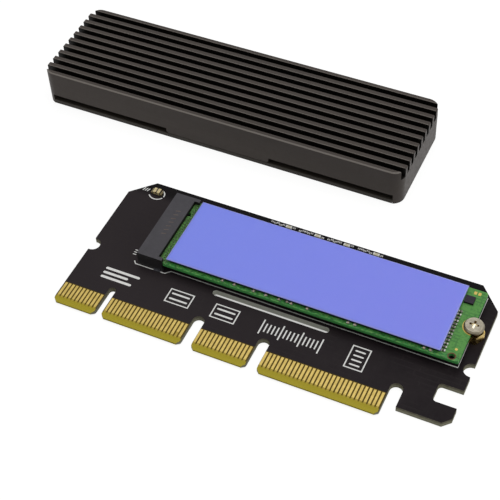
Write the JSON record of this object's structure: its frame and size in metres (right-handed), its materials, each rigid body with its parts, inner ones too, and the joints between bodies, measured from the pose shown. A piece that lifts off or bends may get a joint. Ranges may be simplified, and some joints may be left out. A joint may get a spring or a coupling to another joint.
{
  "type": "nvme adapter card",
  "caption": "Slot adapter card carrying a solid-state drive in an edge socket under a thermal pad, with its own finned aluminium case lying closed behind it",
  "frame": {"origin": "centre of the key notch, on the line of the contact tips, at the board's underside", "axes": "+X along the contact edge towards the retention hook, +Y from the contact tips towards the card's rear edge, +Z out of the component side"},
  "size_m": [0.1388, 0.0925, 0.0112],
  "materials": {
    "black_lacquer": "satin",
    "gilt_contacts": "polished",
    "green_lacquer": "satin",
    "chip_moulding": "matt",
    "silicone_pad": "matt",
    "socket_moulding": "matt",
    "spring_metal": "bright",
    "tinned_metal": "satin",
    "standoff_brass": "turned",
    "screw_steel": "bright",
    "lens_plastic": "clear over cream",
    "capacitor_body": "fired",
    "case_aluminium": "dark anodised, bead blasted",
    "base_aluminium": "dark anodised",
    "black_screw_steel": "black"
  },
  "bodies": {
    "root": {"adapter_board": "black_lacquer", "edge_contacts_upper": "gilt_contacts", "edge_contacts_lower": "gilt_contacts", "drive_board": "green_lacquer", "drive_contacts_upper": "gilt_contacts", "drive_contacts_lower": "gilt_contacts", "drive_controller": "chip_moulding", "drive_cache_chip": "chip_moulding", "drive_flash_near": "chip_moulding", "drive_flash_far": "chip_moulding", "drive_power_chip": "chip_moulding", "drive_capacitors": "capacitor_body", "drive_test_pads": "gilt_contacts", "thermal_pad": "silicone_pad", "socket_housing": "socket_moulding", "socket_contacts_upper": "spring_metal", "socket_contacts_lower": "spring_metal", "socket_hold_downs": "tinned_metal", "standoff": "standoff_brass", "drive_screw": "screw_steel", "status_led": "lens_plastic", "rear_capacitors": "capacitor_body", "case_shell": "case_aluminium", "case_base": "base_aluminium", "case_screws": "black_screw_steel"}
  },
  "joints": []
}
